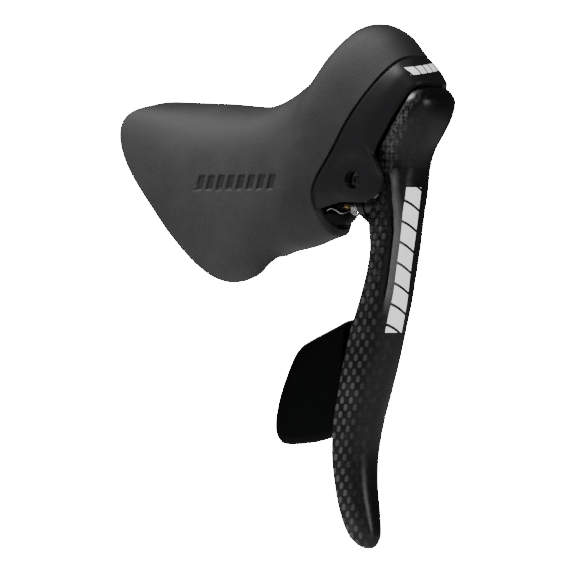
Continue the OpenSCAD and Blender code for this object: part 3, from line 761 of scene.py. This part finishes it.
def carbon(name, settings):
    """Plain-woven carbon under clear coat with painted highlights and shade, and a printed stripe down the
    front.
    """
    maker = Maker(name, coat=0.4, coat_roughness=0.3, specular=0.15)
    place = maker.place()
    x, y, z = maker.parts(place)
    nx, ny, _ = maker.normal()
    tow = settings.tow / MM
    side = ((abs(ny) - abs(nx)) * 5.0).clamp()
    lean = (z + 10.0) * 0.16
    u = ((x - lean) * side + y * (1 - side)) / tow
    v = z / (tow * 1.35)
    warp = ((u.floor() + v.floor()) % 2.0) < 0.5
    across = abs((u % 1.0) - 0.5) * 2.0
    down = abs((v % 1.0) - 0.5) * 2.0
    lengthwise = (1.1 - across ** 2.2 - down ** 5.0 * 0.9).clamp()
    crosswise = (1.12 - down ** 4.0 - across ** 6.0 * 0.8).clamp()
    strand_u = maker.noise(maker.node("ShaderNodeCombineXYZ", {}, [u * 9.0, v * 1.4, 0.0]), 1.0, 2.0)
    strand_v = maker.noise(maker.node("ShaderNodeCombineXYZ", {}, [u * 1.4, v * 9.0, 0.0]), 1.0, 2.0)
    fibre = warp * strand_u + (1 - warp) * strand_v
    crown = warp * lengthwise + (1 - warp) * crosswise
    cell = maker.noise(maker.node("ShaderNodeCombineXYZ", {}, [u.floor(), v.floor(), 3.0]), 0.73, 0.0)
    patch = maker.noise(place, 0.07, 2.0)
    # Painted side light: the weave is lit on the side faces and fades towards the front.
    painted_side_light = (((0.4 - nx) * 1.5).clamp() * 0.93 + 0.07) * (abs(ny) * 2.0).clamp()
    upper = ((z + 34.0) / 12.0).clamp()
    # Painted highlight along the rear edge of the blade's head.
    edge = ((0.35 - nx) * 2.0).clamp() * ((z - 9.0) / 4.0).clamp()
    fleck = (maker.noise(maker.stretch(place, (1.0, 1.0, 0.6)), 1.1, 2.0, 0.7) - 0.42) * 2.2
    # Painted reflection: one tow direction is lit and the other dark, with random tone per cell and strand.
    shine = warp * 0.9 + (1 - warp) * 0.06 + (cell - 0.5) * 0.6 + (fibre - 0.5) * 0.7
    # Flecks replace part of the weave up high, and break up the painted highlight on the head's rear edge.
    shine = shine * (1 - upper * 0.45) + upper * fleck * 0.9 + edge * fleck * 3.2
    # Painted glint: the lit tows are brightest on their crowns.
    painted_glint = (shine * crown * (patch * 1.9 - 0.2).clamp() * painted_side_light * 2.6).clamp()
    weave = maker.mix(painted_glint, settings.dark, settings.light)
    line = x - groove_line((z - GROOVE_BEND).smaller(0.0))
    reach = ((GROOVE_TOP - z) / 5.0).clamp() * ((z - GROOVE_END) / 8.0).clamp() * (y < 0.0)
    # Painted highlight on the rounded band just in front of the side groove.
    ridge_highlight = (1.25 - abs(line - 1.7) / 1.6).clamp() * reach
    weave = maker.mix(ridge_highlight * (0.7 + patch * 0.3), weave, settings.ridge_highlight)
    # Painted shade in the side groove.
    weave = maker.mix((1.4 - abs(line) / 0.5).clamp() * reach, weave, (0.001, 0.001, 0.001))
    stripe = blade_stripe(x, y, z) * (nx > 0.0)
    # The stripe glows: painted light.
    maker.print_painted_glow(stripe)
    maker.set("Base Color", maker.mix(stripe, weave, settings.stripe))
    maker.set("Roughness", (0.4 - painted_glint * 0.1 + stripe * 0.05).clamp())
    maker.bump(crown * (1 - stripe) * 0.6 + fibre * 0.2, 0.05)
    return maker.material


STRIPE_HALF, STRIPE_TOP, STRIPE_END, STRIPE_STEP, STRIPE_GAP = 3.2, 7.6, -39.0, 6.6, 0.9


def blade_stripe(x, y, z):
    """A plain white band down the blade's front, cut by slanted gaps."""
    centre = (z + 18.0) * -0.012 - 2.4
    band = (abs(y - centre) < STRIPE_HALF) * (z < STRIPE_TOP) * (z > STRIPE_END) * (x > 70.0)
    gaps = ((z + y * 0.5) % STRIPE_STEP) > STRIPE_GAP
    return band * gaps


# ---------------------------------------------------------------- shift paddle

PADDLE_OUTLINE = [
    [63.8, -36.4], [62, -35], [55.3, -37.8], [48.4, -40.7], [43.2, -43.3], [40, -46.6], [36.8, -52.6],
    [33.4, -61.1], [31.9, -68.7], [33, -73.2], [36.6, -75.4], [47, -74.8], [54.6, -73.1], [60.4, -71],
    [62.6, -58], [65.4, -46],
]


class LEVER_OT_shift_paddle(bpy.types.Operator):
    """Makes the shift paddle's plate with its rounded edge"""
    bl_idname = "lever.shift_paddle"
    bl_label = "Shift paddle"

    def execute(self, context):
        low, high = (corner[1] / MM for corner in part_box("shift_paddle"))
        count, per = len(PADDLE_OUTLINE), 14
        line = []
        for i in range(count):
            picked = [PADDLE_OUTLINE[(i + k) % count] for k in (-1, 0, 1, 2)]
            line += [Vector([cubic(*axis, j / per) for axis in zip(*picked)]) for j in range(per)]
        total = len(line)
        inwards = []
        for i, p in enumerate(line):
            way = line[(i + 1) % total] - line[i - 1]
            inwards.append(Vector((-way[1], way[0])).normalized())
        middle = sum(line, Vector((0, 0))) / total
        turn = 1 if sum((middle - p).dot(n) for p, n in zip(line, inwards)) > 0 else -1
        rings = []
        profile = [(3.0, low), (0.75, low), (0.3, low + 0.12), (0.06, low + 0.42), (0.0, low + 0.8),
                   (0.0, high - 0.8), (0.06, high - 0.42), (0.3, high - 0.12), (0.75, high), (3.0, high)]
        for set_in, y in profile:
            rings.append([(p[0] + n[0] * turn * set_in, y, p[1] + n[1] * turn * set_in)
                          for p, n in zip(line, inwards)])
        piece = ring_piece("paddle_plate", rings, sharp_degrees=60)
        face_outward(piece)
        # The paddle's upper edge gets a painted highlight.
        material = gloss_black("paddle_black", (0.0008, 0.0008, 0.0009), 0.3, 0.0, 0.12, 0.8)
        finish_piece(piece, material, "paddle_lever", ["shift_paddle"])
        return {"FINISHED"}


# ---------------------------------------------------------------- springs

AXLE_Z = 2.0


def wire_piece(name, path, radius):
    """A round wire along a list of points."""
    sides = 12
    rings = []
    for i, p in enumerate(path):
        way = (path[min(i + 1, len(path) - 1)] - path[max(i - 1, 0)]).normalized()
        across = way.cross(Vector((0.31, 0.17, 0.94))).normalized()
        other = way.cross(across)
        rings.append([p + radius * (math.cos(2 * math.pi * k / sides) * across
                                    + math.sin(2 * math.pi * k / sides) * other) for k in range(sides)])
    piece = ring_piece(name, rings)
    face_outward(piece)
    return piece


class LEVER_OT_springs(bpy.types.Operator):
    """Winds the paddle's return spring and the brake's return spring"""
    bl_idname = "lever.springs"
    bl_label = "Springs"

    def execute(self, context):
        per = 36
        bright = metal("spring_wire", (0.6, 0.6, 0.61), 0.2, (0.5, 6.0, 6.0))
        leg = [[55, -6.6, 0], [57.4, -6.6, 1], [60, -5.4, -0.5], [61.2, -4, -0.2]]
        path = [Vector(along(leg, 3 * i / 30)) for i in range(31)]
        for i in range(per * 4 + 1):
            angle, ahead = math.radians(215 + 360 * i / per), 2.6 * i / (per * 4)
            path.append(Vector((61.75 + ahead, 3 * math.cos(angle), AXLE_Z + 3 * math.sin(angle))))
        paddle = wire_piece("paddle_spring_wire", path, 0.27)
        finish_piece(paddle, bright, "brake_lever", ["paddle_return_spring"])
        path = [Vector((57.6, -2.6, 20.6)), Vector((59.6, -2.5, 19))]
        for i in range(per * 4 + 1):
            angle, across = math.radians(200 + 360 * i / per), 4.8 * i / (per * 4)
            path.append(Vector((64 + 2.6 * math.cos(angle), -2.4 + across, 17.6 + 2.6 * math.sin(angle))))
        path.append(Vector((65.6, 2.6, 15)))
        brake = wire_piece("brake_spring_wire", path, 0.4)
        finish_piece(brake, bright, "bracket_body", ["brake_return_spring"])
        return {"FINISHED"}


# ---------------------------------------------------------------- chin

CHIN_MIDDLE, CHIN_TOP, CHIN_FLOOR = 49.2, -0.7, -5.2
CHIN_LONG, CHIN_WIDE, CHIN_DEEP = 12.3, 8.9, 7.0


class LEVER_OT_chin(bpy.types.Operator):
    """Makes the smooth black chin of the bracket, hollow above, below the mechanism"""
    bl_idname = "lever.chin"
    bl_label = "Chin"

    def execute(self, context):
        turns = [2 * math.pi * k / 96 for k in range(96)]

        def ring(reach, z):
            return [(CHIN_MIDDLE + CHIN_LONG * reach * math.cos(a), CHIN_WIDE * reach * math.sin(a), z)
                    for a in turns]

        hollow = [(0.05, CHIN_FLOOR), (0.72, CHIN_FLOOR), (0.84, CHIN_TOP - 0.3), (0.88, CHIN_TOP)]
        rings = [ring(reach, z) for reach, z in hollow]
        for step in range(19):
            depth = CHIN_DEEP * math.sin(step / 18.3 * math.pi / 2) ** 1.15
            reach = max(1 - (depth / (CHIN_DEEP + 0.1)) ** 1.5, 0.0) ** (1 / 1.5)
            rings.append(ring(reach, CHIN_TOP - depth))
        piece = ring_piece("chin", rings, sharp_degrees=50)
        face_outward(piece)
        material = gloss_black("chin_black", (0.0015, 0.0015, 0.0016), 0.45, 0.0, 0.15)
        finish_piece(piece, material, "bracket_body")
        return {"FINISHED"}


# ---------------------------------------------------------------- finishes of the CAD nodes

class LEVER_OT_finishes(bpy.types.Operator):
    """Gives every remaining node of the model its own worked material"""
    bl_idname = "lever.finishes"
    bl_label = "Metal and plastic finishes"

    def execute(self, context):
        along_x, along_y, along_z = (0.4, 7.0, 7.0), (7.0, 0.4, 7.0), (7.0, 7.0, 0.4)
        made = {
            "bracket_composite": gloss_black("bracket_composite", (0.005, 0.005, 0.0055), 0.2),
            "bumper_rubber": rubber("bumper_rubber", ((0.012, 0.012, 0.012), (0.03, 0.03, 0.03)), 0.04),
            "band_steel": metal("band_steel", (0.62, 0.63, 0.65), 0.3, along_y),
            "bolt_steel": metal("bolt_steel", (0.42, 0.42, 0.44), 0.34, along_z),
            "fastener_steel": metal("fastener_steel", (0.55, 0.55, 0.57), 0.32, along_z),
            "pin_steel": metal("pin_steel", (0.5, 0.5, 0.51), 0.34, along_y),
            "black_screw": metal("black_screw", (0.05, 0.05, 0.053), 0.4, along_z, 0.8),
            "bush_brass": metal("bush_brass", (0.86, 0.6, 0.27), 0.24, along_x),
            # Painted shade: the carrier and the drive arm are near-black for the dark inside of the bracket.
            "carrier_aluminium": metal("carrier_aluminium", (0.06, 0.06, 0.063), 0.42, along_x, 0.7),
            "anchor_aluminium": metal("anchor_aluminium", (0.66, 0.67, 0.69), 0.3, along_y),
            "arm_aluminium": metal("arm_aluminium", (0.035, 0.035, 0.038), 0.36, along_z, 0.6),
            "axle_steel": metal("axle_steel", (0.5, 0.5, 0.52), 0.26, along_x),
            "pawl_steel": metal("pawl_steel", (0.38, 0.38, 0.4), 0.35, along_y),
            "ratchet_steel": metal("ratchet_steel", (0.5, 0.5, 0.52), 0.3, along_y),
            # Painted shade: the spool is dark grey because it sits in the shadow inside the bracket.
            "spool_plastic": satin_plastic("spool_plastic", (0.02, 0.02, 0.022), (0.03, 0.03, 0.033), 0.45),
        }
        slots = {part["node"]: part["material_slot"] for part in frame["record"]["subparts"]}
        for name, node in NODES.items():
            material = made.get(slots[name])
            if material is None:
                continue
            if not node.material_slots:
                node.data.materials.append(material)
            for place in node.material_slots:
                place.material = material
        return {"FINISHED"}


# ---------------------------------------------------------------- stage

# Each lamp: its name, how far aside of the camera and how high it stands in degrees, its distance and the
# length of its sides in metres, and its power in watts.
LAMPS = [
    ("key_lamp", -76, 50, 0.9, 0.3, 8.6),
    ("fill_lamp", -14, 24, 1.2, 0.3, 1.5),
    ("edge_lamp", 52, 8, 0.9, 0.36, 2.6),
    ("top_lamp", 0, 84, 0.8, 0.4, 0.5),
]
ROOM_LIGHT, BACKDROP_LIGHT = 0.06, 40.0


def soft_light(name, target, azimuth, elevation, distance, size, power):
    """A soft square lamp aimed at a point."""
    lamp = bpy.data.lights.new(name, "AREA")
    lamp.shape = "SQUARE"
    lamp.size = size
    lamp.energy = power
    way = Vector((math.sin(azimuth) * math.cos(elevation), -math.cos(azimuth) * math.cos(elevation),
                  math.sin(elevation)))
    holder = bpy.data.objects.new(name, lamp)
    holder.location = target + way * distance
    holder.rotation_euler = way.to_track_quat("Z", "Y").to_euler()
    bpy.context.scene.collection.objects.link(holder)


class LEVER_OT_stage(bpy.types.Operator):
    """Sets the camera, the soft lamps and the pale floor"""
    bl_idname = "lever.stage"
    bl_label = "Stage"

    def execute(self, context):
        settings = context.scene.lever_stage
        centre = Vector((34, 0, -24.5)) * MM
        turn = settings.azimuth
        back = Vector((math.sin(turn), -math.cos(turn), 0))
        lens = bpy.data.cameras.new("camera")
        lens.sensor_width = 36
        lens.lens = lens.sensor_width * settings.distance / settings.view_width
        lens.clip_end = 100
        camera = bpy.data.objects.new("camera", lens)
        camera.location = centre + back * settings.distance
        camera.rotation_euler = back.to_track_quat("Z", "Y").to_euler()
        context.scene.collection.objects.link(camera)
        context.scene.camera = camera

        floor_z = CAD_BOX[0][2] - settings.drop
        reach = 0.45
        corners = [(-reach, -reach), (reach, -reach), (reach, reach), (-reach, reach)]
        floor = new_piece("floor", [(x / MM, y / MM, floor_z / MM) for x, y in corners], [(0, 1, 2, 3)])
        maker = Maker("floor_paper", roughness=0.9, specular=0.1)
        shade = maker.noise(maker.place(), 0.004, 2.0)
        maker.set("Base Color", maker.mix(shade, [c * 0.98 for c in settings.paper], settings.paper))
        floor.data.materials.append(maker.material)

        for name, aside, height, distance, size, power in LAMPS:
            soft_light(name, centre, turn + math.radians(aside), math.radians(height), distance, size, power)

        world = bpy.data.worlds.new("studio")
        context.scene.world = world
        world.use_nodes = True
        tree = world.node_tree
        dim = tree.nodes["Background"]
        dim.inputs["Color"].default_value = (1, 1, 1, 1)
        dim.inputs["Strength"].default_value = ROOM_LIGHT
        seen = tree.nodes.new("ShaderNodeBackground")
        seen.inputs["Color"].default_value = (1, 1, 1, 1)
        seen.inputs["Strength"].default_value = BACKDROP_LIGHT
        rays = tree.nodes.new("ShaderNodeLightPath")
        mixer = tree.nodes.new("ShaderNodeMixShader")
        tree.links.new(rays.outputs["Is Camera Ray"], mixer.inputs[0])
        tree.links.new(dim.outputs[0], mixer.inputs[1])
        tree.links.new(seen.outputs[0], mixer.inputs[2])
        tree.links.new(mixer.outputs[0], tree.nodes["World Output"].inputs["Surface"])
        return {"FINISHED"}


# ---------------------------------------------------------------- panel and registration

OPERATORS = (LEVER_OT_stage, LEVER_OT_hood, LEVER_OT_front_cover, LEVER_OT_brake_blade,
             LEVER_OT_shift_paddle, LEVER_OT_springs, LEVER_OT_chin, LEVER_OT_finishes)
SETTINGS = {"lever_hood": HoodSettings, "lever_cover": CoverSettings, "lever_blade": BladeSettings,
            "lever_stage": StageSettings}


class LEVER_PT_panel(bpy.types.Panel):
    """Lists the lever's pieces in the sidebar"""
    bl_label = "Brake and shift lever"
    bl_space_type = "VIEW_3D"
    bl_region_type = "UI"
    bl_category = "Lever"

    def draw(self, context):
        for operator in OPERATORS:
            self.layout.operator(operator.bl_idname)


def register():
    for group in SETTINGS.values():
        bpy.utils.register_class(group)
    for name, group in SETTINGS.items():
        setattr(bpy.types.Scene, name, bpy.props.PointerProperty(type=group))
    for item in (*OPERATORS, LEVER_PT_panel):
        bpy.utils.register_class(item)


def unregister():
    for item in (LEVER_PT_panel, *reversed(OPERATORS)):
        bpy.utils.unregister_class(item)
    for name, group in SETTINGS.items():
        delattr(bpy.types.Scene, name)
        bpy.utils.unregister_class(group)


def main():
    register()
    for operator in OPERATORS:
        family, name = operator.bl_idname.split(".")
        getattr(getattr(bpy.ops, family), name)()


if __name__ == "__main__":
    main()
